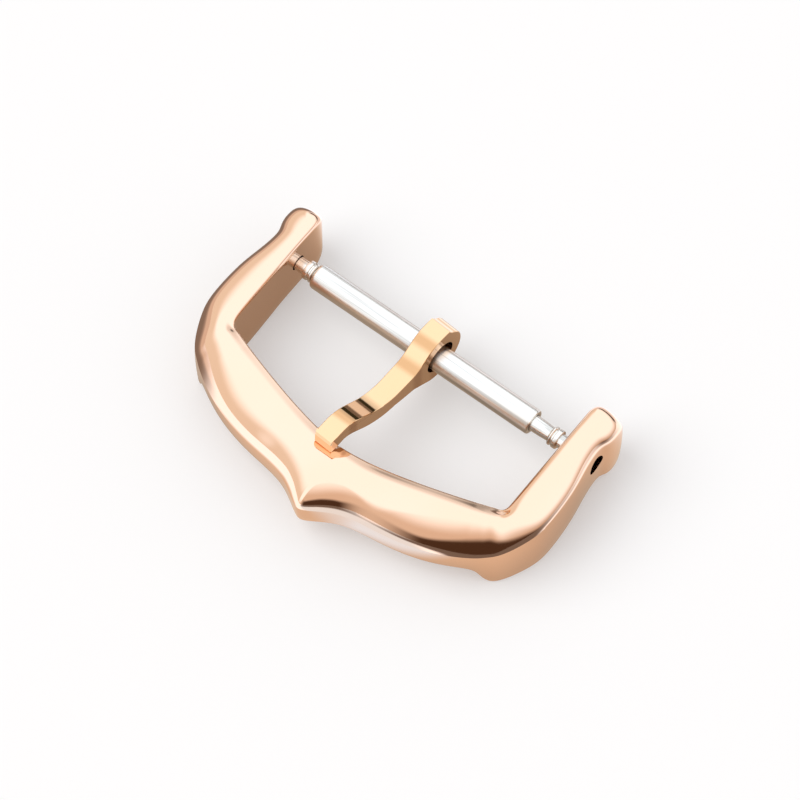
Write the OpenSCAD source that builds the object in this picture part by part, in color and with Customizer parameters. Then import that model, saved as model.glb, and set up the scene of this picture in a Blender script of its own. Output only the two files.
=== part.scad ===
// Tang buckle for a watch strap: a bowed frame with a pointed front,
// a pivoting tongue and a telescopic spring bar that carries both.
// The origin is the middle of the spring bar's axis. +X runs along the bar,
// -Y points to the front of the buckle and +Z is up. Sizes are in millimetres.

/* [Frame outline] */
// Gap between the two arms, where the strap end sits
inner_w = 18.6; // [16:0.1:24]
// Bar axis to the inner edge of the front bar, measured in the middle
front_in = 8.14; // [7:0.02:11]
// How far the front bar's inner edge comes back towards the bar at its ends
front_bow = 2.38; // [1.5:0.02:3]
// Width of the front bar beside its point, seen from above
front_w = 2.61; // [2:0.01:3.4]
// How far the front point stands out past the front bar
point_h = 1.3; // [0.5:0.05:1.8]
// Half of the length over which the point rises out of the front bar
point_w = 1.55; // [1:0.05:2.2]
// Width of an arm at its widest
arm_w = 2.28; // [1.9:0.02:3]
// Width of an arm at the bar hole
neck_w = 1.6; // [1.3:0.01:1.9]
// Width of the lobe at the end of an arm
lobe_w = 1.98; // [1.5:0.05:2.3]
// Bar axis to the end of the lobes
lobe_reach = 2.7; // [2.3:0.05:3.4]
// Fullness of the lobe's end: 2 is an oval, more is squarer
lobe_plump = 3; // [2:0.1:4]

/* [Frame heights] */
// Bar axis up to the inner rim of the frame
rim_z = 1.5; // [1.3:0.05:2.2]
// Rise of the rounded top above the rim
crown = 0.5; // [0.2:0.02:0.8]
// Bar axis up to the line where the rounded top meets the outer wall, on the front bar
crease_z = 0.45; // [0.2:0.05:0.8]
// How much higher that line lies on the arms
crease_rise = 0.55; // [0:0.05:0.7]
// Bar axis down to the feet that the buckle rests on
foot_z = 2.7; // [2.2:0.05:3.2]
// Bar axis down to the underside of the front bar
front_under = 1.05; // [0.3:0.05:1.4]
// Height of the arch under each arm
arm_arch = 0.35; // [0:0.05:0.6]
// How far the outer wall leans in towards its lower edge
side_lean = 0.1; // [0.02:0.01:0.3]
// Rounding of the lower edges
edge_r = 0.1; // [0.05:0.01:0.2]
// Rounding of the top's inner edge along the front bar
front_rim = 0.11; // [0.06:0.01:0.2]
// Place of the top's highest line on the front bar, as a part of its width
front_crest = 0.42; // [0.3:0.01:0.5]
// Place of the top's highest line on the arms, as a part of their width
arm_crest = 0.26; // [0.2:0.01:0.5]
// Depth of the tongue notch below the rim
notch_depth = 0.3; // [0.1:0.05:0.6]
// Radius of the notch's round floor
notch_r = 0.7; // [0.5:0.02:1]

/* [Tongue] */
// Width of the tongue at its eye
tongue_w = 1.3; // [1:0.05:1.8]
// Thickness of the tongue at its tip
tongue_t = 1.05; // [0.8:0.01:1.3]
// How far the tip reaches over the front bar's inner edge
tip_overlap = 0.69; // [0.4:0.01:1.1]
// Gap between the resting tip and the frame
tip_gap = 0.05; // [0.02:0.01:0.15]
// Wall of the eye round the bar
eye_wall = 0.75; // [0.5:0.02:0.9]
// Play between the bar and the near side of the eye hole
eye_gap = 0.05; // [0.03:0.01:0.1]
// Extra width of the eye hole, which lets the tongue lie loose
eye_slack = 0.45; // [0.1:0.05:0.7]
// Place of the tongue's middle along the bar
tongue_x = -0.16; // [-0.5:0.02:0.5]
// Turn of the loose tongue, seen from above, in degrees
tongue_skew = 3.6; // [-4:0.1:4]

/* [Spring bar] */
// Outer diameter of the spring bar's tube
tube_d = 1.5; // [1.3:0.05:1.8]
// Wall of the tube
tube_wall = 0.18; // [0.15:0.01:0.22]
// Length of the right plunger's stem that shows between the tube and its flange
stem_show = 1.17; // [0.9:0.01:1.6]
// Inward lip at each end of the tube
lip = 0.06; // [0.04:0.01:0.08]
// Diameter of the plungers' two flanges
flange_d = 1.14; // [1.05:0.01:1.25]
// Diameter of the plungers' tips
tip_d = 0.82; // [0.7:0.01:0.9]
// Radial play of a tip in its hole in the frame
tip_fit = 0.07; // [0.03:0.01:0.1]
// How deep each tip sits in its hole
tip_grip = 0.5; // [0.4:0.05:0.9]
// Gap between a plunger's shoulder and the arm
shoulder_gap = 0.64; // [0.5:0.02:0.8]
// Radial play of a plunger in the tube
slide_fit = 0.04; // [0.02:0.01:0.06]
// Wire diameter of the spring
wire_d = 0.18; // [0.12:0.01:0.22]
// Number of working turns of the spring
spring_turns = 14; // [10:1:15]

/* [Hidden] */
rose_gold = [0.91, 0.70, 0.55];
tongue_gold = [0.93, 0.76, 0.52];
steel = [0.80, 0.80, 0.80];

// Small helpers
function mix(a, b, t) = a + (b - a) * t;
function last(v) = v[len(v) - 1];

// Point of a smooth curve through p[i] and p[i + 1], at t from 0 to 1
function spline_at(p, i, t) =
    let (a = p[max(i - 1, 0)], b = p[i], c = p[i + 1], d = p[min(i + 2, len(p) - 1)])
    0.5 * (2 * b + (c - a) * t + (2 * a - 5 * b + 4 * c - d) * t * t
           + (3 * b - a - 3 * c + d) * t * t * t);

// A smooth curve through all the points of p, with the given steps between two of them
function spline(p, steps) = concat(
    [for (i = [0:len(p) - 2]) for (k = [0:steps - 1]) spline_at(p, i, k / steps)],
    [last(p)]);

function arc(cy, cz, r, a0, a1, n) =
    [for (i = [0:n]) let (a = mix(a0, a1, i / n)) [cy + r * cos(a), cz + r * sin(a)]];

// Frame
// The right half of the frame is a row of ribs, from the front point round the corner
// to the lobe. Each rib holds its inner point, its outer point, its heights (rim, crest,
// crease, underside) and the shape of its outer side (how far the crease lies in, the
// angle at which the rounded top meets it, and how far the lower edge lies in).
half_in = inner_w / 2;
top_z = rim_z + crown;
corner_y = front_in - front_bow;
arm_crease = crease_z + crease_rise;

function rib(inner, outer, heights, shape) = concat(inner, outer, heights, shape);
function inner_front_y(x) = -front_in + front_bow * pow(x / half_in, 1.45);
function outer_front_y(x) = -front_in - front_w + (front_bow - 0.35) * pow(x / half_in, 3.2)
    - point_h * exp(-pow(x / point_w, 1.6));
function front_rib(x, under) =
    let (out_x = 1.15 * x, far = x / half_in)
    rib([x, inner_front_y(x)], [out_x, outer_front_y(out_x)],
        [rim_z, top_z, crease_z, under], [0, mix(12, 30, pow(far / 0.8, 4)), side_lean, 0]);
// A rib in the corner: f runs from 0 at the front bar to 1 at the arm
function corner_rib(f, inner, outer, under) =
    rib(inner, outer, [rim_z, top_z, mix(crease_z, arm_crease, f), under],
        [0.1 * f, mix(31, 26, f), side_lean, max(0, 2 * f - 1)]);
function arm_rib(y, width, crease_in, under, shoulder = 10) =
    rib([half_in, y], [half_in + width, y],
        [rim_z, top_z, arm_crease, under], [crease_in, shoulder, side_lean + crease_in / 3, 1]);

front_spots = [0, 0.03, 0.065, 0.1, 0.15, 0.2, 0.27, 0.36, 0.47, 0.59, 0.7, 0.8];
step_x = 0.875 * half_in;
ribs = concat(
    [for (f = front_spots) front_rib(f * half_in, -front_under)],
    [corner_rib(0, [step_x, inner_front_y(step_x)],
         [half_in + 0.02, outer_front_y(half_in + 0.02)], -front_under - 0.12),
     corner_rib(0.05, [step_x + 0.2, inner_front_y(step_x + 0.2)],
         [half_in + 0.34, outer_front_y(half_in + 0.34)], -mix(front_under, foot_z, 0.55)),
     corner_rib(0.15, [half_in - 0.75, inner_front_y(half_in - 0.75)],
         [half_in + 0.67, outer_front_y(half_in + 0.67)], -foot_z),
     corner_rib(0.3, [half_in - 0.5, inner_front_y(half_in - 0.5)],
         [half_in + 1.06, outer_front_y(half_in + 1.02)], -foot_z),
     corner_rib(0.5, [half_in - 0.22, -corner_y - 0.1], [half_in + arm_w - 0.76, -corner_y - 1.45],
         -foot_z),
     corner_rib(0.75, [half_in - 0.03, -corner_y + 0.14], [half_in + arm_w - 0.26, -corner_y - 0.35],
         -foot_z),
     corner_rib(0.95, [half_in, -corner_y + 0.6], [half_in + arm_w - 0.04, -corner_y + 0.5],
         -foot_z),
     arm_rib(-0.74 * corner_y, arm_w, 0.1, -foot_z, 16),
     arm_rib(-0.495 * corner_y, mix(neck_w, arm_w, 0.85), 0.12, -foot_z + 0.5 * arm_arch),
     arm_rib(-0.305 * corner_y, mix(neck_w, arm_w, 0.55), 0.16, -foot_z + arm_arch),
     arm_rib(-0.15 * corner_y, mix(neck_w, arm_w, 0.22), 0.23, -foot_z + arm_arch),
     arm_rib(-0.1, mix(neck_w, arm_w, 0.03), 0.28, -foot_z + arm_arch),
     arm_rib(0.45, neck_w, 0.27, -foot_z + arm_arch),
     arm_rib(0.8, mix(neck_w, lobe_w, 0.45), 0.2, -foot_z + 0.45 * arm_arch),
     arm_rib(1.1, mix(neck_w, lobe_w, 0.85), 0.17, -foot_z),
     arm_rib(1.4, lobe_w, 0.15, -foot_z)]);

function bezier(a, b, c, d, t) =
    pow(1 - t, 3) * a + 3 * t * pow(1 - t, 2) * b + 3 * t * t * (1 - t) * c + t * t * t * d;

// Cross-section of a rib of width w, as [distance from the inner wall, height]. The top's
// inner edge is crisp where soft is 0 and fully rounded where it is 1.
function section(w, rim, top, crease, under, crease_in, shoulder, lean, soft) =
    let (crest = w * mix(front_crest, arm_crest, soft), edge = w - crease_in,
         side = mix(crease, under, 0.28), foot = w - lean,
         knee = [mix(front_rim, 0.293 * crest, soft), rim + mix(0.05, 0.707 * (top - rim), soft)],
         slope = mix(0.53, (top - rim) / crest, soft), reach = crest - knee[0],
         turn_at = edge - (top - crease) * tan(shoulder),
         cone = min(1, max(0, (shoulder - 12) / 18)), hold = mix(0.44, 0.66, cone))
    concat(
        [[edge_r, under], [0, under + edge_r], [0, mix(under, rim, 0.5)]],
        [for (t = [0:1 / 3:1])
            bezier([0, rim - 0.12 * (1 - soft)], [0, rim + mix(-0.02, 0.133, soft)],
                   [0.36 * knee[0], knee[1] - 0.64 * knee[0] * slope], knee, t)],
        [for (t = [0.2:0.2:0.8])
            bezier(knee, knee + 0.3 * reach * [1, slope], [crest - 0.36 * reach, top],
                   [crest, top], t)],
        [for (t = [0:1 / 9:1])
            bezier([crest, top], [mix(crest, turn_at, mix(0.56, 0.45, cone)), top],
                   [mix(edge, turn_at, hold), mix(crease, top, hold)], [edge, crease], t)],
        [[mix(edge, w, 0.6), mix(crease, side, 0.5)], [w, side],
         [mix(w, foot, 0.4), mix(side, under, 0.5)], [foot, under + edge_r],
         [foot - edge_r, under]]);

// The section of a rib, set in space
function rib_points(r) =
    let (dx = r[2] - r[0], dy = r[3] - r[1], w = norm([dx, dy]))
    [for (p = section(w, r[4], r[5], r[6], r[7], r[8], r[9], r[10], r[11]))
        [r[0] + dx * p[0] / w, r[1] + dy * p[0] / w, p[1]]];

// The lobe's end closes round a core line, over the last bit of the arm, fuller above the
// core line than below it
lobe_start = last(ribs);
lobe_core = [half_in + lobe_w * 0.5, (rim_z - foot_z) / 2 + 0.1];
function closing(t, fullness) = pow(1 - pow(t, fullness), 1 / fullness);
function lobe_ring(t) =
    let (y = mix(lobe_start[1], lobe_reach, t))
    [for (p = rib_points(lobe_start))
        [mix(lobe_core[0], p[0], closing(t, lobe_plump)), y,
         mix(lobe_core[1], p[2], closing(t, p[2] > lobe_core[1] ? lobe_plump : 2))]];

// The curve through the ribs may not dip below the feet
function on_feet(r) = [for (i = [0:len(r) - 1]) i == 7 ? max(r[i], -foot_z) : r[i]];

half_rings = concat(
    [for (r = spline(ribs, 2)) rib_points(on_feet(r))],
    [for (t = [0.35, 0.6, 0.78, 0.9, 0.97, 0.995]) lobe_ring(t)]);
mirror_rings = [for (i = [len(half_rings) - 1:-1:1]) [for (p = half_rings[i]) [-p[0], p[1], p[2]]]];
rings = concat(mirror_rings, half_rings);

// A closed skin over rings that all have the same number of points
module skin(rings) {
    m = len(rings[0]);
    n = len(rings);
    polyhedron(
        points = [for (r = rings) for (p = r) p],
        faces = concat(
            [[for (j = [0:m - 1]) j]],
            [for (i = [0:n - 2]) for (j = [0:m - 1])
                let (a = i * m + j, b = i * m + (j + 1) % m) each [[a, a + m, b], [b, a + m, b + m]]],
            [[for (j = [m - 1:-1:0]) (n - 1) * m + j]]));
}

hole_d = tip_d + 2 * tip_fit;
mouth_d = hole_d + 0.24;
notch_run = 0.95;

module buckle_frame() {
    color(rose_gold)
    difference() {
        skin(rings);
        for (side = [-1, 1]) {
            // Hole for the spring bar's tip, right through the neck
            translate([side * half_in, 0, 0]) rotate([0, side * 90, 0])
                translate([0, 0, -0.5]) cylinder(d = hole_d, h = neck_w + 1.2, $fn = 48);
            // Wider outer mouth of that hole
            translate([side * (half_in + tip_grip + 0.15), 0, 0]) rotate([0, side * 90, 0])
                cylinder(d = mouth_d, h = neck_w + 0.5, $fn = 48);
        }
        // Round notch for the tongue, rising out towards the front
        translate([0, -front_in + 0.2, rim_z - notch_depth + notch_r])
            rotate([90 - atan2(notch_depth + crown * 0.7, notch_run), 0, 0])
            translate([0, 0, -1]) cylinder(r = notch_r, h = notch_run + 2, $fn = 48);
    }
}

// Tongue
eye_r_in = tube_d / 2 + eye_gap + eye_slack / 2;
eye_lift = eye_slack / 2;
eye_r = eye_r_in + eye_wall;
tip_y = -front_in - tip_overlap;
tip_z = top_z + tip_gap + tongue_t / 2;

// Middle line of the shank, from the eye to the tip, as [y, z]
shank_y0 = -eye_r - 0.32;
shank_y1 = tip_y + 1.67;
shank_z0 = eye_lift + 0.1;
shank_z1 = tip_z - 0.22;
shank_rise = [[0, 0], [0.235, 0.05], [0.43, 0.16], [0.57, 0.31], [0.725, 0.54], [0.88, 0.8], [1, 1]];
shank = concat(
    [for (p = shank_rise) [mix(shank_y0, shank_y1, p[0]), mix(shank_z0, shank_z1, p[1])]],
    [[tip_y + 1.17, tip_z - 0.02], [tip_y + 0.67, tip_z + 0.04], [tip_y, tip_z]]);
function shank_t(i) = mix(tongue_t + 0.55, tongue_t, min(1, i / 1.7));

// The shank's middle line, shifted sideways by half its thickness
function shank_side(s) =
    let (p = spline(shank, 3), n = len(p))
    [for (i = [0:n - 1])
        let (d = p[min(i + 1, n - 1)] - p[max(i - 1, 0)], l = norm(d))
        p[i] + s * shank_t(i / 3) / 2 * [d[1], -d[0]] / l];

function rev(v) = [for (i = [len(v) - 1:-1:0]) v[i]];

module tongue_profile() {
    top = shank_side(1);
    low = shank_side(-1);
    flat_z = eye_lift + eye_r + 0.1;
    polygon(concat(
        arc(0, eye_lift, eye_r, -118, 46, 22),
        [[0.92, flat_z - 0.06], [0, flat_z], [-0.6, flat_z - 0.07], [-1.23, flat_z - 0.16],
         [-1.57, flat_z - 0.3], [-1.88, flat_z - 0.6]],
        [for (i = [1:len(top) - 2]) top[i]],
        [last(top) + [0.2, 0], last(top) + [0, -0.4], last(low) + [0, 0.08], last(low) + [0.08, 0]],
        rev([for (i = [0:len(low) - 2]) low[i]])));
}

module tongue() {
    color(tongue_gold)
    difference() {
        translate([tongue_x, 0, 0]) rotate([0, 0, -tongue_skew]) rotate([90, 0, 90])
            translate([0, 0, -tongue_w / 2]) linear_extrude(tongue_w) tongue_profile();
        translate([tongue_x, 0, eye_lift]) rotate([0, 90, 0])
            cylinder(r = eye_r_in, h = 2 * tongue_w + 2, center = true, $fn = 64);
    }
}

// Spring bar
shoulder_x = half_in - shoulder_gap;
flange_len = 0.61;
groove_w = 0.06;
mouth_gap = 0.03;
bore_d = tube_d - 2 * tube_wall;
stem_d = bore_d - 2 * lip - 2 * slide_fit;
head_d = bore_d - 2 * slide_fit;
tube_x0 = -shoulder_x + flange_len + mouth_gap;
tube_x1 = shoulder_x - flange_len - stem_show;
tube_len = tube_x1 - tube_x0;
lip_len = 0.25;
head_len = 1.9;

function tube_end() =
    [[bore_d / 2, lip_len], [bore_d / 2 - lip, lip_len], [bore_d / 2 - lip, 0], [tube_d / 2 - 0.12, 0],
     [tube_d / 2 - 0.04, 0.05], [tube_d / 2, 0.2]];

module spring_bar_tube() {
    near = tube_end();
    far = rev([for (p = near) [p[0], tube_len - p[1]]]);
    color(steel)
    translate([tube_x0, 0, 0]) rotate([0, 90, 0]) rotate_extrude($fn = 64) polygon(concat(near, far));
}

// A plunger along +Z, with its shoulder at 0, its tip above and its head below.
// The lip of the tube lies lip_at below the shoulder, on its outer side.
module plunger(lip_at) {
    tip_len = shoulder_gap + tip_grip;
    f = flange_d / 2;
    s = stem_d / 2;
    head_top = -lip_at - lip_len - 0.02;
    rotate_extrude($fn = 48)
        polygon([[0, tip_len], [tip_d / 2 - 0.1, tip_len], [tip_d / 2, tip_len - 0.1], [tip_d / 2, 0],
                 [f - 0.04, 0], [f, -0.04], [f, -0.26], [f - 0.06, -0.3], [f - 0.06, -0.3 - groove_w],
                 [f, -0.4 - groove_w / 2], [f, -0.5], [s - 0.06, -flange_len],
                 [s, -max(lip_at, flange_len + 0.05)], [s, head_top], [head_d / 2, head_top],
                 [head_d / 2, head_top - head_len], [0, head_top - head_len]]);
}

module left_plunger() {
    color(steel) translate([-shoulder_x, 0, 0]) rotate([0, -90, 0]) plunger(flange_len + mouth_gap);
}

module right_plunger() {
    color(steel) translate([shoulder_x, 0, 0]) rotate([0, 90, 0]) plunger(shoulder_x - tube_x1);
}

// Spring
spring_gap = 0.03;
spring_x0 = tube_x0 + lip_len + 0.02 + head_len + spring_gap;
spring_x1 = tube_x1 - lip_len - 0.02 - head_len - spring_gap;
coil_r = bore_d / 2 - slide_fit - 0.03 - wire_d / 2;
turn_pitch = (spring_x1 - spring_x0 - wire_d) / spring_turns;

// Centre of the wire after a number of turns
function coil_at(t) = [spring_x0 + wire_d / 2 + turn_pitch * t, coil_r * cos(360 * t), coil_r * sin(360 * t)];
function coil_ring(t) =
    let (c = coil_at(t), out = [0, cos(360 * t), sin(360 * t)],
         run = [turn_pitch, -2 * PI * coil_r * sin(360 * t), 2 * PI * coil_r * cos(360 * t)],
         side = cross(run, out) / norm(run))
    [for (k = [0:5]) c + wire_d / 2 * (cos(60 * k) * out + sin(60 * k) * side)];
coil_rings = [for (i = [0:spring_turns * 8]) coil_ring(i / 8)];

// Least gap between one turn and the next, over points of the wire's centre line
coil_gap = min([for (i = [0:8]) for (j = [6:10]) norm(coil_at(i / 8) - coil_at((i + j) / 8))]) - wire_d;
echo(spring_least_gap = coil_gap);

module compression_spring() {
    color(steel) skin(coil_rings);
}

buckle_frame();
tongue();
spring_bar_tube();
left_plunger();
right_plunger();
compression_spring();
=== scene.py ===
import math

import bpy
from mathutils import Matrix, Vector


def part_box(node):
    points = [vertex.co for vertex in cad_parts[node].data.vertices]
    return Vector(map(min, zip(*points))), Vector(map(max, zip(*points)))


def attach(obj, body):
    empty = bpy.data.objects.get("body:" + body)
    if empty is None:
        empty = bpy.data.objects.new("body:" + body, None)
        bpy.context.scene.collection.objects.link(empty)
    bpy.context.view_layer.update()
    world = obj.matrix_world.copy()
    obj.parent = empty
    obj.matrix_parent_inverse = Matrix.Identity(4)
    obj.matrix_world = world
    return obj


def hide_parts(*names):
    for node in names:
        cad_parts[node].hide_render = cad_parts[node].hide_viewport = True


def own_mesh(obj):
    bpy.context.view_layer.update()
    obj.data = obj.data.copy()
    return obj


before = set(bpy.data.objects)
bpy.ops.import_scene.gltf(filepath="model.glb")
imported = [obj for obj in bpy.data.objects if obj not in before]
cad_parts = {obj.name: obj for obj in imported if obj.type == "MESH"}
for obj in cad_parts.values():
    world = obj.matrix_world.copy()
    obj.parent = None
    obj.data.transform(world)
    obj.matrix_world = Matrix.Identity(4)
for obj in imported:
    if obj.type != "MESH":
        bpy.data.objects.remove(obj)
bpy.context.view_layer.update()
MM = 0.001

# The camera looks down on the buckle from its right front, from far away with a long
# lens, so that the sides hardly converge. Its frame is square, 43.6 mm at the buckle.
camera_side, camera_height = math.radians(37.42), math.radians(63.06)
camera_far, look_at = 0.4, Vector((0, -2.96, -0.88)) * MM
to_camera = Vector((math.cos(camera_height) * math.sin(camera_side),
                    -math.cos(camera_height) * math.cos(camera_side), math.sin(camera_height)))
bpy.ops.object.camera_add()
camera = bpy.context.object
camera.name = "studio_camera"
camera.location = look_at + to_camera * camera_far
camera.rotation_euler = (-to_camera).to_track_quat("-Z", "Y").to_euler()
camera.data.lens = 330.3
camera.data.sensor_width = 36
camera.data.clip_start = 0.01
camera.data.clip_end = 10
bpy.context.scene.camera = camera
bpy.context.scene.view_settings.view_transform = "Standard"


# The studio: a big softbox above and behind, a warm wall in front, a dark room past the
# table's right front edge, which the metal shows as a brown band, and a dark shelf at the
# back, which it shows as the tongue's black bars. A lamp on the left gives the shadows.
softbox_light, behind_light = (1.30, 1.30, 1.34, 1), (0.86, 0.82, 0.80, 1)
wall_left, wall_front = (0.90, 0.77, 0.65, 1), (0.79, 0.60, 0.48, 1)
wall_right, plain_white = (0.62, 0.45, 0.35, 1), (1, 1, 1, 1)
dark_room, dark_shelf = (0.075, 0.036, 0.02, 1), (0.04, 0.035, 0.02, 1)
mirrored_gain, shadow_depth = (1.056, 1.183, 1.29, 1), 0.45
lamp_turn, lamp_width, per_radian = math.radians(38), math.radians(55), 57.3


class Wire:
    """A socket of a shader tree. Sums and products of wires add their Math nodes."""

    def __init__(self, tree, socket=None):
        self.tree, self.socket = tree, socket

    def add(self, kind, settings=None, inputs=None, out=0):
        """Adds a node with its settings and inputs, and gives the wire of one output."""
        node = self.tree.nodes.new(kind)
        for name, value in (settings or {}).items():
            setattr(node, name, value)
        for name, value in (inputs or {}).items():
            if isinstance(value, Wire):
                self.tree.links.new(value.socket, node.inputs[name])
            else:
                node.inputs[name].default_value = value
        return Wire(self.tree, node.outputs[out]) if node.outputs else None

    def maths(self, operation, *values):
        return self.add("ShaderNodeMath", {"operation": operation}, dict(enumerate(values)))

    def __add__(self, other):
        return self.maths("ADD", self, other)

    def __sub__(self, other):
        return self.maths("SUBTRACT", self, other)

    def __rsub__(self, other):
        return self.maths("SUBTRACT", other, self)

    def __mul__(self, other):
        return self.maths("MULTIPLY", self, other)

    def __truediv__(self, other):
        return self.maths("DIVIDE", self, other)

    def __pow__(self, other):
        return self.maths("POWER", self, other)

    def __abs__(self):
        return self.maths("ABSOLUTE", self)

    def parts(self):
        """The X, Y and Z of a vector, as three wires."""
        node = self.tree.nodes.new("ShaderNodeSeparateXYZ")
        self.tree.links.new(self.socket, node.inputs[0])
        return [Wire(self.tree, s) for s in node.outputs]

    def rays(self, *names):
        """The Light Path node's outputs of these names."""
        node = self.tree.nodes.new("ShaderNodeLightPath")
        return [Wire(self.tree, node.outputs[n]) for n in names]

    def between(self, low, high):
        """0 below low, 1 above high and a smooth step between them."""
        return self.add("ShaderNodeMapRange", {"interpolation_type": "SMOOTHSTEP"},
                        {"Value": self, "From Min": low, "From Max": high})

    def tint(self, first, second, blend="MIX"):
        """The first colour where this wire is 0, the second where it is 1."""
        return self.add("ShaderNodeMix", {"data_type": "RGBA", "blend_type": blend},
                        {0: self, 6: first, 7: second}, out=2)


room = bpy.data.worlds.new("studio")
bpy.context.scene.world = room
room.use_nodes = True
room.node_tree.nodes.clear()
sky = Wire(room.node_tree)

# Directions: up is the height on a ball of radius 1, and azimuth is counted in degrees
# from the front, -Y, to the right. The softbox's lower edge rises and falls with it.
east, north, up = sky.add("ShaderNodeTexCoord").parts()
azimuth = east.maths("ARCTAN2", east, 0 - north) * per_radian
west, off_front = 0 - azimuth, abs(azimuth - 5)
box_edge = (0.81 - off_front.between(15, 60) * 0.36 + west.between(70, 105) * 0.15
            + west.between(35, 60) * (0.09 - west.between(75, 100) * 0.09)
            - azimuth.between(12, 40) * 0.08
            - azimuth.between(75, 120) * 0.15 - west.between(130, 150) * 0.57
            - azimuth.between(-34, -26) * (1 - azimuth.between(-10, -2)) * 0.6)
dark_top = (0.34 - azimuth * 0.0047 + azimuth.between(8, 30) * 0.17
            - azimuth.between(50, 85) * 0.05)
softbox = (up - box_edge).between(-0.28, 0.2)
wall = azimuth.between(-45, 15).tint(wall_left, wall_front)
wall = azimuth.between(45, 100).tint(wall, wall_right)
behind = abs(azimuth).between(140, 158) * (1 - up.between(0.14, 0.36))
gap = (azimuth.between(-8, 14) * (1 - azimuth.between(85, 140))
       * (1 - (up - dark_top).between(-0.09, 0.08)))
shelf = abs(azimuth).between(148, 158) * (1 - abs(up).between(0.1, 0.15))
seen = softbox.tint(wall, softbox_light)
seen = behind.tint(seen, behind_light)
seen = gap.tint(seen, dark_room)
seen = shelf.tint(seen, dark_shelf)
is_camera, is_glossy, bounced = sky.rays("Is Camera Ray", "Is Glossy Ray", "Diffuse Depth")
seen = is_glossy.tint(seen, mirrored_gain, "MULTIPLY")
seen = is_camera.tint(seen, plain_white)
light = sky.add("ShaderNodeBackground", None,
                {"Color": seen, "Strength": 1 - bounced.between(0, 1) * shadow_depth})
sky.add("ShaderNodeOutputWorld", None, {"Surface": light})

bpy.ops.object.light_add(type="SUN", rotation=(0, -lamp_turn, lamp_turn))
lamp = bpy.context.object
lamp.name = "soft_lamp"
lamp.data.angle = lamp_width
lamp.data.energy = 1.5
lamp.visible_glossy = False


# The table top: a matt white sheet that keeps the buckle's soft shadow. In polished metal it
# shows a painted reflection: painted shade round the buckle, painted white further out and
# painted dark patches beyond.
sheet_white, camera_light = (0.665, 0.665, 0.662, 1), (1, 0.995, 0.99, 1)
shade_tone, painted_dark_tone = (0.37, 0.28, 0.20, 1), (0.08, 0.043, 0.026, 1)
ring_tone, ring_right = (0.84, 0.67, 0.51, 1), (0.7, 0.55, 0.42, 1)
left_tone, left_dark = (0.8, 0.66, 0.58, 1), (0.16, 0.11, 0.08, 1)
far_white, near_white, back_white = (1.6, 1.8, 2.1, 1), (1.0, 1.28, 1.6, 1), (1.0, 0.95, 1.0, 1)
glow_share, mirror_share, middle_y = 0.3, 0.8, -0.005


def finish_tree(name):
    """A new material with an empty tree, and a wire to build it from."""
    material = bpy.data.materials.new(name)
    material.use_nodes = True
    material.node_tree.nodes.clear()
    return material, Wire(material.node_tree)


bpy.ops.mesh.primitive_plane_add(size=1.2, location=(0, 0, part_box("buckle_frame")[0].z))
table = bpy.context.object
table.name = "table_top"
paper, sheet = finish_tree("white_paper")

# Places on the sheet are in metres. off and way are the distance and the direction from
# the buckle's middle, the direction in degrees from the front.
px, py, pz = sheet.add("ShaderNodeTexCoord", out=3).parts()
from_middle = py - middle_y
off = (px * px + from_middle * from_middle) ** 0.5
way = px.maths("ARCTAN2", px, 0 - from_middle) * per_radian
west_way = 0 - way
# Masks of the painted reflection: shaded places the painted shadow round the buckle, around the
# painted white glow further out, and close a brighter painted patch at the front right.
around = (abs(px - 0.0008) / 0.013) ** 3.0 + (abs(py + 0.0047) / 0.0078) ** 3.0
shaded = (abs(px + 0.0007) / 0.0124) ** 3.0 + (abs(py + 0.0032) / 0.0074) ** 3.0
close = (px.between(0.0008, 0.0028) * (1 - px.between(0.0072, 0.0108))
         * (0 - py).between(0.0102, 0.0116))
# A painted light zone behind the buckle, and painted dark patches at the front right and far
# behind, where the table itself is white.
at_back = abs(way).between(140, 156)
painted_dark_mask = (off.between(0.019, 0.03) * way.between(-8, 14) * (1 - way.between(85, 140))
             + off.between(0.046, 0.062) * at_back)
# Painted dark on the table left of the buckle, turning to a painted peach tone further out.
beside = ((1 - px.between(-0.0145, -0.0115)) * west_way.between(52, 66)
          * (1 - west_way.between(138, 152)))
# Lighter painted tones round the painted shadow, warmer towards the right.
ring = (way.between(74, 95) * (1 - way.between(105, 125))).tint(ring_tone, ring_right)
shown = shaded.between(0.3, 1.5).tint(shade_tone, ring)
shown = around.between(1.2, 3.4).tint(shown, far_white)
shown = close.tint(shown, near_white)
shown = (at_back * off.between(0.011, 0.017)).tint(shown, back_white)
shown = painted_dark_mask.tint(shown, painted_dark_tone)
shown = beside.tint(shown, px.between(-0.034, -0.02).tint(left_tone, left_dark))
is_camera, is_glossy = sheet.rays("Is Camera Ray", "Is Glossy Ray")
matt = sheet.add("ShaderNodeBsdfDiffuse", None, {"Color": sheet_white})
glow = sheet.add("ShaderNodeEmission", None,
                 {"Color": camera_light, "Strength": is_camera * glow_share})
both = sheet.add("ShaderNodeAddShader", None, {0: matt, 1: glow})
# The painted reflection: an emission that glossy rays see on the table instead of its lit white.
mirrored = sheet.add("ShaderNodeEmission", None, {"Color": shown, "Strength": 1.0})
either = sheet.add("ShaderNodeMixShader", None,
                   {0: is_glossy * mirror_share, 1: both, 2: mirrored})
sheet.add("ShaderNodeOutputMaterial", None, {"Surface": either})
table.data.materials.append(paper)

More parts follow.
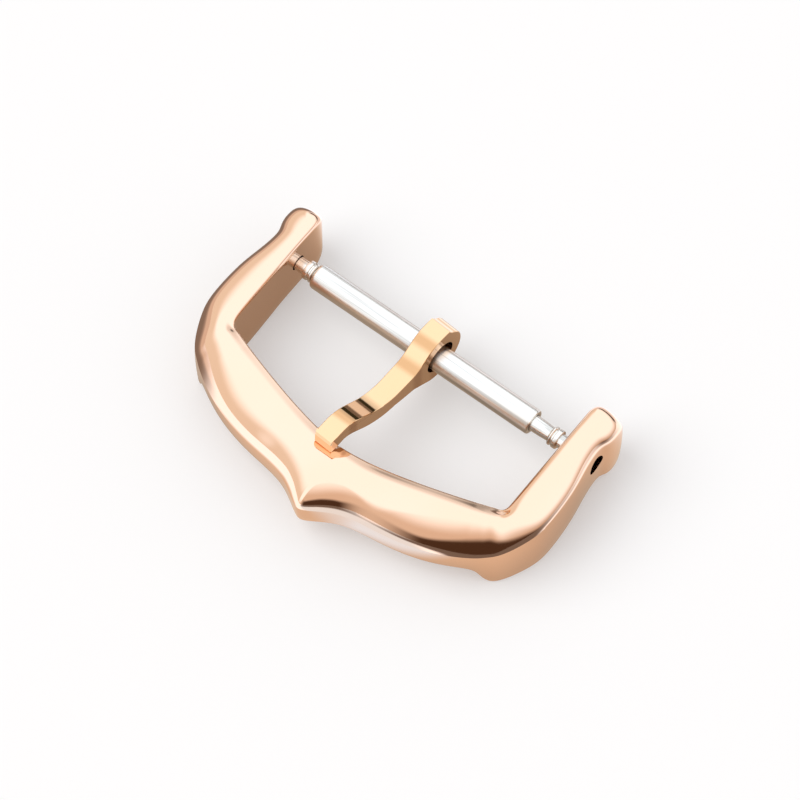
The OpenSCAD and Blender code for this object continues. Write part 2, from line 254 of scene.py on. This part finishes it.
# The frame: a bowed bar of stainless steel with two arms, pressed, polished all over and
# plated in rose gold. Its domed top meets the upright outer wall in a crisp line. Here and
# in the pieces that follow, sizes are in millimetres until to_size makes them metres.
inner_w, front_in, front_bow, front_w = 18.6, 8.14, 2.38, 2.61
point_h, point_w = 1.3, 1.55
arm_w, neck_w, lobe_w, lobe_reach = 2.28, 1.82, 2.0, 2.694
rim_z, crown, crease_z, crease_rise = 1.5, 0.5, 0.45, 0.55
foot_z, front_under, arm_arch, side_lean, edge_r = 2.7, 1.05, 0.35, 0.1, 0.1
front_rim, front_crest, arm_crest = 0.11, 0.42, 0.26
tip_r, tip_from, tip_len = 0.48, -0.8, 3.2
mouth_r, mouth_from, mouth_len = 0.6, 0.65, 2.4
notch_r, notch_len, notch_depth, notch_x = 0.5, 3.3, 0.3, -0.36
rose, rose_deep, plating_shine = (0.90, 0.60, 0.43, 1), (0.89, 0.585, 0.41, 1), 0.05
half_in, top_z, corner_y = inner_w / 2, rim_z + crown, front_in - front_bow
lobe_width = (lobe_w - neck_w) / (arm_w - neck_w)
rib_steps, lobe_turns, lobe_plump = 8, 18, 3
corner_steps, wall_steps, rim_steps, rise_steps, dome_steps = 5, 3, 9, 11, 24


def mix(a, b, t):
    return a + (b - a) * t


def inner_front(x):
    return -front_in + front_bow * (x / half_in) ** 1.45


def outer_front(x):
    rise = point_h * math.exp(-(x / point_w) ** 1.6)
    return -front_in - front_w + (front_bow - 0.35) * (x / half_in) ** 3.2 - rise


def rib(inner, outer, f, under, crease_in, shoulder):
    """A cross-section's ends, heights and outer side. f is 0 on the front bar, 1 on an arm."""
    return [*inner, *outer, crease_z + crease_rise * f, under, crease_in, shoulder,
            side_lean + crease_in / 3, max(0, 2 * f - 1)]


def arm_rib(y, width, crease_in, under, shoulder=10):
    outer_x = half_in + mix(neck_w, arm_w, width)
    return rib((half_in, y), (outer_x, y), 1, under, crease_in, shoulder)


ribs = []
for far in (0, 0.03, 0.065, 0.1, 0.15, 0.2, 0.27, 0.36, 0.47, 0.59, 0.7, 0.8):
    x_in = far * half_in
    x_out = 1.15 * x_in
    ribs.append(rib((x_in, inner_front(x_in)), (x_out, outer_front(x_out)), 0, -front_under, 0,
                    mix(12, 30, (far / 0.8) ** 4)))
for f, x_in, x_out, under in ((0, -1.16, 0.02, -front_under - 0.12), (0.05, -0.96, 0.34, -1.96),
                              (0.15, -0.75, 0.67, -foot_z), (0.3, -0.5, 1.04, -foot_z)):
    x_in, x_out = half_in + x_in, half_in + x_out
    ribs.append(rib((x_in, inner_front(x_in)), (x_out, outer_front(x_out)), f, under, 0.1 * f, 30))
for f, x_in, y_in, x_out, y_out, shoulder in ((0.5, 0.22, -0.1, 0.76, -1.45, 30),
                                              (0.75, 0.03, 0.14, 0.26, -0.35, 29),
                                              (0.95, 0, 0.6, 0.04, 0.5, 25)):
    ribs.append(rib((half_in - x_in, y_in - corner_y), (half_in + arm_w - x_out, y_out - corner_y),
                    f, -foot_z, 0.1 * f, shoulder))
ribs.append(arm_rib(-0.74 * corner_y, 1, 0.06, -foot_z, 16))
for y, width, crease_in, arch in ((-0.495 * corner_y, 0.85, 0.05, 0.5),
                                  (-0.305 * corner_y, 0.55, 0.06, 1),
                                  (-0.15 * corner_y, 0.22, 0.09, 1),
                                  (-0.1, 0.03, 0.11, 1), (0.45, 0, 0.11, 1),
                                  (0.8, 0.45 * lobe_width, 0.08, 0.45),
                                  (1.1, 0.85 * lobe_width, 0.06, 0), (1.4, lobe_width, 0.05, 0)):
    ribs.append(arm_rib(y, width, crease_in, -foot_z + arch * arm_arch))


def smooth_curve(values, steps, passes):
    """Even curve through evenly spaced values, then softened by its neighbours."""
    n = len(values)
    a, b, m = [0.0] * n, [0.0] * n, [0.0] * n
    for i in range(1, n - 1):
        b[i] = 1 / (4 - b[i - 1])
        a[i] = (6 * (values[i + 1] - 2 * values[i] + values[i - 1]) - a[i - 1]) * b[i]
    for i in range(n - 2, 0, -1):
        m[i] = a[i] - b[i] * m[i + 1]
    curve = []
    for i in range(n - 1):
        for k in range(steps):
            t, s = k / steps, 1 - k / steps
            curve.append(s * values[i] + t * values[i + 1]
                         + ((s ** 3 - s) * m[i] + (t ** 3 - t) * m[i + 1]) / 6)
    curve.append(values[-1])
    for _ in range(passes):
        curve = [curve[0]] + [(curve[i - 1] + 2 * curve[i] + curve[i + 1]) / 4
                              for i in range(1, len(curve) - 1)] + [curve[-1]]
    return curve


def bezier(a, b, c, d, t):
    return tuple((1 - t) ** 3 * a[k] + 3 * t * (1 - t) ** 2 * b[k] + 3 * t * t * (1 - t) * c[k]
                 + t ** 3 * d[k] for k in (0, 1))


def section(w, crease, under, crease_in, shoulder, lean, soft):
    """Outline of a rib of width w, from its lower inner edge over the top to the outer one.
    The top's inner edge is crisp where soft is 0 and fully rounded where it is 1. Behind
    the point, where the ribs are widest, the top rises sooner and its inner rim is higher."""
    wide = max(0, w / 2.9 - 1)
    crest, edge = w * mix(front_crest * (1 - 1.15 * wide), arm_crest, soft), w - crease_in
    rim_top = rim_z + 0.33 * wide
    side, foot = mix(crease, under, 0.28), w - lean
    knee = (mix(front_rim, 0.293 * crest, soft), rim_top + mix(0.05, 0.707 * crown, soft))
    slope, reach = mix(0.53, crown / crest, soft), crest - knee[0]
    cone = min(1, max(0, (shoulder - 12) / 18))
    turn_at = edge - (top_z - crease) * math.tan(math.radians(shoulder))
    pull, bend = mix(0.56, 0.45, cone), mix(0.44, 0.66, cone)
    corner = [(edge_r * (1 - math.sin(a)), edge_r * (1 - math.cos(a)))
              for a in (math.radians(90 / (corner_steps - 1) * k) for k in range(corner_steps))]
    low = [(p[0], under + p[1]) for p in corner]
    wall = [(0, mix(under, rim_top, k / (wall_steps + 1))) for k in range(1, wall_steps + 1)]
    rim = [bezier((0, rim_top - 0.12 * (1 - soft)), (0, rim_top + mix(-0.02, 0.133, soft)),
                  (0.36 * knee[0], knee[1] - 0.64 * knee[0] * slope), knee, k / (rim_steps - 1))
           for k in range(rim_steps)]
    rise = [bezier(knee, (knee[0] + 0.3 * reach, knee[1] + 0.3 * reach * slope),
                   (crest - 0.36 * reach, top_z), (crest, top_z), k / (rise_steps + 1))
            for k in range(1, rise_steps + 1)]
    dome = [bezier((crest, top_z), (mix(crest, turn_at, pull), top_z),
                   (mix(edge, turn_at, bend), mix(crease, top_z, bend)),
                   (edge, crease), k / dome_steps) for k in range(dome_steps + 1)]
    wall_out = [bezier((edge, crease), (mix(edge, w, 0.55), mix(crease, side, 0.5)), (w, side),
                       (mix(w, foot, 0.5), mix(side, under, 0.55)), k / 8) for k in range(1, 9)]
    last = [(foot - p[0], under + p[1]) for p in reversed(corner)]
    return low + wall + rim + rise + dome + wall_out + last


def rib_outline(r):
    dx, dy = r[2] - r[0], r[3] - r[1]
    w = math.hypot(dx, dy)
    return [Vector((r[0] + dx * p[0] / w, r[1] + dy * p[0] / w, p[1])) for p in section(w, *r[4:])]


# Each column is one value of the ribs, from the left lobe round to the right one. The
# first four are places, which are softened less than the values that shape a section.
places_end, under_column, soft_column = 4, 5, 9
both_sides = [[-r[0], r[1], -r[2]] + r[3:] for r in ribs[:0:-1]] + ribs
columns = [smooth_curve(list(c), rib_steps, 14 if k < places_end else 60)
           for k, c in enumerate(zip(*both_sides))]
columns[under_column] = [max(z, -foot_z) for z in columns[under_column]]
rings = [rib_outline(r) for r in zip(*columns)]
lobe_core = Vector((half_in + 0.5 * lobe_w, 0, (rim_z - foot_z) / 2 + 0.1))


def lobe_rings(start):
    """Rings that close the lobe's rounded end behind the last full cross-section."""
    side = 1 if start[0].x > 0 else -1
    closed = []
    for i in range(1, lobe_turns):
        t = math.sin(0.5 * math.pi * i / lobe_turns) ** 0.8
        full, oval = ((1 - t ** n) ** (1 / n) for n in (lobe_plump, 2))
        closed.append([Vector((mix(side * lobe_core.x, p.x, full), mix(p.y, lobe_reach, t),
                               mix(lobe_core.z, p.z, full if p.z > lobe_core.z else oval)))
                       for p in start])
    return closed


rings = lobe_rings(rings[0])[::-1] + rings + lobe_rings(rings[-1])
across, along = len(rings[0]), len(rings)
crease_at = corner_steps + wall_steps + rim_steps + rise_steps + dome_steps
plain = [1] * (lobe_turns - 1)
crisp = [soft < 0.9 for soft in plain + columns[soft_column] + plain]

# The skin: a flat grid whose points go to their places on the rings. It is closed along
# its seam and at both ends, and the crease's edges are marked as sharp.
bpy.ops.object.select_all(action="DESELECT")
bpy.ops.mesh.primitive_grid_add(x_subdivisions=along - 1, y_subdivisions=across, size=2)
polished = bpy.context.object
polished.name = "polished_frame"
places = {}
for v in polished.data.vertices:
    i, j = round((v.co.x + 1) / 2 * (along - 1)), round((v.co.y + 1) / 2 * across)
    places[v.index] = (i, j)
    v.co = rings[i][j % across]
for e in polished.data.edges:
    e.use_edge_sharp = all(places[v][1] == crease_at and crisp[places[v][0]] for v in e.vertices)
bpy.ops.object.mode_set(mode="EDIT")
bpy.ops.mesh.select_all(action="SELECT")
bpy.ops.mesh.remove_doubles(threshold=1e-5)
bpy.ops.mesh.select_all(action="DESELECT")
bpy.ops.mesh.select_mode(type="EDGE")
bpy.ops.mesh.select_non_manifold()
bpy.ops.mesh.edge_face_add()
bpy.ops.mesh.select_all(action="SELECT")
bpy.ops.mesh.normals_make_consistent(inside=False)
bpy.ops.object.mode_set(mode="OBJECT")


def cut(piece, cutter):
    """Takes the cutter's shape out of the piece."""
    bpy.ops.object.select_all(action="DESELECT")
    bpy.context.view_layer.objects.active = piece
    piece.select_set(True)
    carve = piece.modifiers.new("cut", "BOOLEAN")
    carve.operation, carve.object, carve.solver = "DIFFERENCE", cutter, "EXACT"
    bpy.ops.object.modifier_apply(modifier=carve.name)
    bpy.data.objects.remove(cutter)


def drill(radius, depth, location, rotation, vertices=64):
    bpy.ops.object.select_all(action="DESELECT")
    bpy.ops.mesh.primitive_cylinder_add(vertices=vertices, radius=radius, depth=depth,
                                        location=location, rotation=rotation)
    return bpy.context.object


def to_size(piece):
    """The pieces are drawn in millimetres, and this brings one to metres."""
    bpy.ops.object.select_all(action="DESELECT")
    piece.select_set(True)
    bpy.context.view_layer.objects.active = piece
    piece.scale = (MM, MM, MM)
    bpy.ops.object.transform_apply(location=True, rotation=True, scale=True)


quarter = math.radians(90)
for side in (-1, 1):
    cut(polished, drill(tip_r, tip_len, (side * (half_in + tip_from + tip_len / 2), 0, 0),
                        (0, quarter, 0)))
    cut(polished, drill(mouth_r, mouth_len, (side * (half_in + mouth_from + mouth_len / 2), 0, 0),
                        (0, quarter, 0)))
notch_tilt = math.atan2(notch_depth + 0.35, 0.72)
notch_way = Vector((0, -math.cos(notch_tilt), math.sin(notch_tilt)))
notch_start = Vector((notch_x, 0.42 - front_in, rim_z - notch_depth + notch_r))
cut(polished, drill(notch_r, notch_len, notch_start + 0.65 * notch_way,
                    (quarter - notch_tilt, 0, 0)))
to_size(polished)
bpy.ops.object.shade_smooth_by_angle(angle=math.radians(40), keep_sharp_edges=True)


def plated(name, plating, deep, shine, painted_reflection_bands=(), reflection_tone=None):
    """Polished plating: a slow change of tone, faint wiping marks and a soft orange peel.
    Across bands given as a place along Y and a reach, it has a darker painted reflection tone."""
    material, w = finish_tree(name)
    spot = w.add("ShaderNodeTexCoord", out=3)
    drift = w.add("ShaderNodeTexNoise", None, {"Vector": spot, "Scale": 160.0, "Detail": 2.0})
    colour = drift.between(0.35, 0.7).tint(plating, deep)
    spot_y = spot.parts()[1]
    for place, reach in painted_reflection_bands:
        near = 1 - abs(spot_y - place).between(0.2 * reach, reach)
        colour = near.tint(colour, reflection_tone)
    wipes = w.add("ShaderNodeMapping", None, {"Vector": spot, "Rotation": (0.2, 0.1, 0.7),
                                              "Scale": (900.0, 9000.0, 5000.0)})
    marks = w.add("ShaderNodeTexNoise", None, {"Vector": wipes, "Scale": 1.0, "Detail": 3.0})
    gloss = marks.between(0.4, 0.75) * 0.03 + shine
    peel = w.add("ShaderNodeTexNoise", None, {"Vector": spot, "Scale": 1500.0, "Detail": 1.0})
    bump = w.add("ShaderNodeBump", None, {"Height": peel, "Strength": 0.02, "Distance": 0.00002})
    metal = w.add("ShaderNodeBsdfPrincipled", None,
                  {"Base Color": colour, "Metallic": 1.0, "Roughness": gloss, "Normal": bump})
    w.add("ShaderNodeOutputMaterial", None, {"Surface": metal})
    return material


polished.data.materials.clear()
polished.data.materials.append(plated("rose_gold_plating", rose, rose_deep, plating_shine))
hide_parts("buckle_frame")
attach(polished, "frame")

# The tongue: a pressed and polished finger, yellower than the frame. Its eye turns loosely
# on the bar, its neck swings down and up again, and its bevelled end rests in the notch.
tongue_w, tongue_t, tip_overlap, tip_gap = 1.3, 1.05, 0.75, -0.05
eye_r_in, eye_wall, eye_lift = 1.025, 0.75, 0.225
tongue_x, tongue_skew = -0.16, math.radians(3.6)
slim_from, slim_len, slim_to = -2, 5, 0.9
# The darkest gold and the bands below are painted reflection: darker colour across the tongue at
# its bends, where the polished shape mirrors darker surroundings.
gold, gold_deep, gold_reflection_dark = (0.88, 0.555, 0.31, 1), (0.87, 0.54, 0.295, 1), (0.66, 0.36, 0.17, 1)
painted_reflection_bands = ((-0.5 * MM, 0.5 * MM), (-1.85 * MM, 0.55 * MM), (-7.1 * MM, 0.5 * MM))
eye_r, tip_y = eye_r_in + eye_wall, -front_in - tip_overlap
tip_z = top_z + tip_gap + tongue_t / 2
neck_y, neck_z = -eye_r - 0.32, eye_lift + 0.1
middle = [(neck_y, neck_z), (-3.4, 0.41), (-4.4, 0.58), (-5.1, 0.88), (-5.6, 1.165), (-6.02, 1.472),
          (-6.36, 1.741), (-6.65, 1.969), (-7.07, 2.262), (-7.4, 2.42), (-7.8, 2.53), (-8.3, tip_z),
          (tip_y, tip_z)]
spine = [Vector(p) for p in zip(*(smooth_curve(list(c), 6, 6) for c in zip(*middle)))]


def flank(side):
    """The shank's upper (1) or lower (-1) line, half its thickness from the middle one."""
    line = []
    for i, p in enumerate(spine):
        way = (spine[min(i + 1, len(spine) - 1)] - spine[max(i - 1, 0)]).normalized()
        thick = mix(tongue_t + 0.55, tongue_t, min(1, i / 7))
        line.append(p + side * thick / 2 * Vector((way.y, -way.x)))
    return line


flat_z = eye_lift + eye_r + 0.1
ridge = [Vector(p) for p in ((0.85, flat_z - 0.05), (0.5, flat_z - 0.005), (0.15, flat_z - 0.005),
                             (-0.2, flat_z - 0.05), (-0.55, flat_z - 0.18), (-0.9, flat_z - 0.39),
                             (-1.25, flat_z - 0.67), (-1.55, flat_z - 0.88), (-1.85, flat_z - 1.0),
                             (-2.15, flat_z - 1.06))] + flank(1)[6::3]
ridge = [Vector(p) for p in zip(*(smooth_curve(list(c), 6, 10) for c in zip(*ridge)))]
under_side = flank(-1)[::-1]
eye = [Vector((eye_r * math.cos(a), eye_lift + eye_r * math.sin(a)))
       for a in (math.radians(mix(-118, 46, i / 60)) for i in range(61))]
end_high, end_low = ridge[-1], under_side[0]
profile = (eye + [Vector((1.08, 1.68)), Vector((0.95, 1.87))] + ridge[:-1]
           + [end_high + Vector((0.24, 0)), end_high + Vector((0, -0.3)),
              end_low + Vector((0, 0.08)), end_low + Vector((0.08, 0))] + under_side[1:])

bpy.ops.object.select_all(action="DESELECT")
bpy.ops.mesh.primitive_circle_add(vertices=len(profile), radius=2, fill_type="NGON")
finger = bpy.context.object
finger.name = "polished_tongue"
for v, p in zip(finger.data.vertices, profile):
    v.co = (-tongue_w / 2, p.x, p.y)
bpy.ops.object.mode_set(mode="EDIT")
bpy.ops.mesh.select_all(action="SELECT")
bpy.ops.mesh.extrude_region_move(TRANSFORM_OT_translate={"value": (tongue_w, 0, 0)})
bpy.ops.mesh.select_all(action="SELECT")
bpy.ops.mesh.normals_make_consistent(inside=False)
bpy.ops.mesh.select_all(action="DESELECT")
bpy.ops.object.mode_set(mode="OBJECT")
for e in finger.data.edges:
    a, b = (finger.data.vertices[v].co for v in e.vertices)
    e.select = abs(a.x - b.x) < 1e-4
bpy.ops.object.mode_set(mode="EDIT")
bpy.ops.mesh.select_mode(type="EDGE")
bpy.ops.mesh.bevel(offset=0.05, segments=3, affect="EDGES")
bpy.ops.object.mode_set(mode="OBJECT")
for v in finger.data.vertices:
    x, y = v.co.x * mix(1, slim_to, min(1, max(0, (slim_from - v.co.y) / slim_len))), v.co.y
    v.co.x = tongue_x + x * math.cos(tongue_skew) + y * math.sin(tongue_skew)
    v.co.y = y * math.cos(tongue_skew) - x * math.sin(tongue_skew)
cut(finger, drill(eye_r_in, 4, (tongue_x, 0, eye_lift), (0, quarter, 0), 96))
to_size(finger)
bpy.ops.object.shade_smooth_by_angle(angle=math.radians(12))
flat = finger.modifiers.new("flat", "WEIGHTED_NORMAL")
flat.keep_sharp = True
bpy.ops.object.modifier_apply(modifier=flat.name)
finger.data.materials.clear()
finger.data.materials.append(plated("yellow_gold_plating", gold, gold_deep, plating_shine,
                                    painted_reflection_bands, gold_reflection_dark))
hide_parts("tongue")
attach(finger, "tongue")

# The spring bar's tube: drawn stainless steel with a satin finish along its length, whose
# ends are rolled in to a lip that holds the two plungers.
tube_r, lip_r, bore_r, lip_len = 0.75, 0.51, 0.57, 0.25
shoulder_x, flange_len, left_gap, right_gap = half_in - 0.64, 0.61, 0.03, 1.17
tube_x0, tube_x1 = -shoulder_x + flange_len + left_gap, shoulder_x - flange_len - right_gap
tube_grey, tube_shine, tube_lines = (0.84, 0.77, 0.69, 1), 0.24, 0.1


def turned(name, stops, closed, vertices=72):
    """Turns a piece as on a lathe: a ring drawn out and drawn in from stop to stop along X.
    A closed piece ends where it starts. Any other gets a flat face at both its ends."""
    (x, r), rest = stops[0], stops[1:]
    bpy.ops.object.select_all(action="DESELECT")
    bpy.ops.mesh.primitive_circle_add(vertices=vertices, radius=r, location=(x, 0, 0),
                                      fill_type="NOTHING" if closed else "NGON",
                                      rotation=(0, quarter, 0))
    piece = bpy.context.object
    piece.name = name
    bpy.ops.object.transform_apply(location=True, rotation=True, scale=True)
    bpy.ops.object.mode_set(mode="EDIT")
    bpy.ops.mesh.select_all(action="SELECT")
    for next_x, next_r in rest:
        bpy.ops.mesh.extrude_region_move(TRANSFORM_OT_translate={"value": (next_x - x, 0, 0)})
        bpy.ops.transform.resize(value=(1, next_r / r, next_r / r), center_override=(0, 0, 0))
        x, r = next_x, next_r
    bpy.ops.mesh.select_all(action="SELECT")
    bpy.ops.mesh.remove_doubles(threshold=1e-5)
    bpy.ops.mesh.normals_make_consistent(inside=False)
    bpy.ops.object.mode_set(mode="OBJECT")
    to_size(piece)
    bpy.ops.object.shade_smooth_by_angle(angle=math.radians(32))
    return piece


def satin_steel(name, grey, shine, lines):
    """Stainless steel with fine drawing lines along X and a slow change of tone."""
    material, w = finish_tree(name)
    spot = w.add("ShaderNodeTexCoord", out=3)
    drawn = w.add("ShaderNodeMapping", None, {"Vector": spot, "Scale": (250.0, 16000.0, 16000.0)})
    grain = w.add("ShaderNodeTexNoise", None, {"Vector": drawn, "Scale": 1.0, "Detail": 4.0})
    long = w.add("ShaderNodeMapping", None, {"Vector": spot, "Scale": (40.0, 2600.0, 2600.0)})
    streaks = w.add("ShaderNodeTexNoise", None, {"Vector": long, "Scale": 1.0, "Detail": 1.0})
    dull = tuple(0.72 * c for c in grey[:3]) + (1,)
    colour = (grain * 0.35 + streaks * 0.65).between(0.47, 0.6).tint(grey, dull)
    gloss = grain * 0.12 + shine
    bump = w.add("ShaderNodeBump", None, {"Height": grain, "Strength": lines, "Distance": 0.00002})
    metal = w.add("ShaderNodeBsdfPrincipled", None,
                  {"Base Color": colour, "Metallic": 1.0, "Roughness": gloss, "Normal": bump})
    w.add("ShaderNodeOutputMaterial", None, {"Surface": metal})
    return material


tube_steel = satin_steel("satin_tube_steel", tube_grey, tube_shine, tube_lines)
tube = turned("drawn_tube", [
    (tube_x0, lip_r), (tube_x0, tube_r - 0.13), (tube_x0 + 0.03, tube_r - 0.07),
    (tube_x0 + 0.09, tube_r - 0.025), (tube_x0 + 0.2, tube_r), (tube_x1 - 0.1, tube_r),
    (tube_x1 - 0.04, tube_r - 0.015), (tube_x1 - 0.01, tube_r - 0.04), (tube_x1, tube_r - 0.08),
    (tube_x1, lip_r), (tube_x1 - lip_len, lip_r), (tube_x1 - lip_len, bore_r),
    (tube_x0 + lip_len, bore_r), (tube_x0 + lip_len, lip_r), (tube_x0, lip_r)], True)
tube.data.materials.clear()
tube.data.materials.append(tube_steel)
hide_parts("spring_bar_tube")
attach(tube, "bar")

# The plungers: two turned steel pins that the spring pushes out of the tube. Each has a
# grooved double flange for a bar tool and a tip that sits in the hole of its arm. Lengths
# in the outline are counted from the flange's outer face, and only the right stem tapers.
stem_r, stem_end_r, head_r, flange_r, groove_r, pin_r = 0.47, 0.42, 0.53, 0.57, 0.48, 0.41
head_len, head_play, stem_end = 1.9, 0.02, -0.66
pin_grey, pin_shine, pin_lines = (0.80, 0.73, 0.65, 1), 0.2, 0.05
pin_steel = satin_steel("turned_pin_steel", pin_grey, pin_shine, pin_lines)
for side, name, lip_at in ((-1, "left", 0.64), (1, "right", shoulder_x - tube_x1)):
    head_top = -lip_at - lip_len - head_play
    outline = [(head_top - head_len, head_r), (head_top, head_r), (head_top, stem_r),
               (-lip_at, stem_r)]
    if side > 0:
        outline += [(mix(-lip_at, stem_end, 0.6), stem_r - 0.02), (stem_end, stem_end_r)]
    outline += [(-0.61, stem_end_r), (-0.56, flange_r - 0.08), (-0.52, flange_r - 0.02),
                (-0.49, flange_r), (-0.44, flange_r), (-0.41, flange_r - 0.02),
                (-0.37, groove_r), (-0.3, groove_r), (-0.27, flange_r - 0.02), (-0.24, flange_r),
                (-0.05, flange_r), (-0.02, flange_r - 0.01), (0, flange_r - 0.04), (0, pin_r),
                (1.04, pin_r), (1.11, pin_r - 0.04), (1.14, pin_r - 0.1)]
    pin = turned(name + "_turned_pin", [(side * (shoulder_x + x), r) for x, r in outline], False)
    pin.data.materials.clear()
    pin.data.materials.append(pin_steel)
    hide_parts(name + "_plunger")
    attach(pin, name + "_plunger")

# The spring: a coil of drawn steel wire, out of sight inside the tube. It is cut in two a
# hair short of its middle, and each half rides on its own plunger. Its sizes are in metres,
# as in the imported solid.
wire_grey, wire_shine, wire_lines = (0.62, 0.61, 0.6, 1), 0.2, 0.1
push, hair = 0.00055, 0.00005
wire_steel = satin_steel("spring_wire_steel", wire_grey, wire_shine, wire_lines)
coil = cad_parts["compression_spring"]
coil_low, coil_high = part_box("compression_spring")
coil_mid = (coil_low.x + coil_high.x) / 2
for name, end, inwards in (("left", coil_low.x, 1), ("right", coil_high.x, -1)):
    half = bpy.data.objects.new(name + "_coil_half", coil.data.copy())
    half.matrix_world = coil.matrix_world
    bpy.context.collection.objects.link(half)
    bpy.ops.object.select_all(action="DESELECT")
    half.select_set(True)
    bpy.context.view_layer.objects.active = half
    bpy.ops.object.mode_set(mode="EDIT")
    bpy.ops.mesh.select_all(action="SELECT")
    bpy.ops.mesh.bisect(plane_co=(coil_mid - inwards * hair, 0, 0), plane_no=(inwards, 0, 0),
                        use_fill=True, clear_outer=True)
    bpy.ops.object.mode_set(mode="OBJECT")
    half.data.materials.clear()
    half.data.materials.append(wire_steel)
    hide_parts("compression_spring")
    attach(half, name + "_plunger")
    name + "_tip_push"
    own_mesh(half)
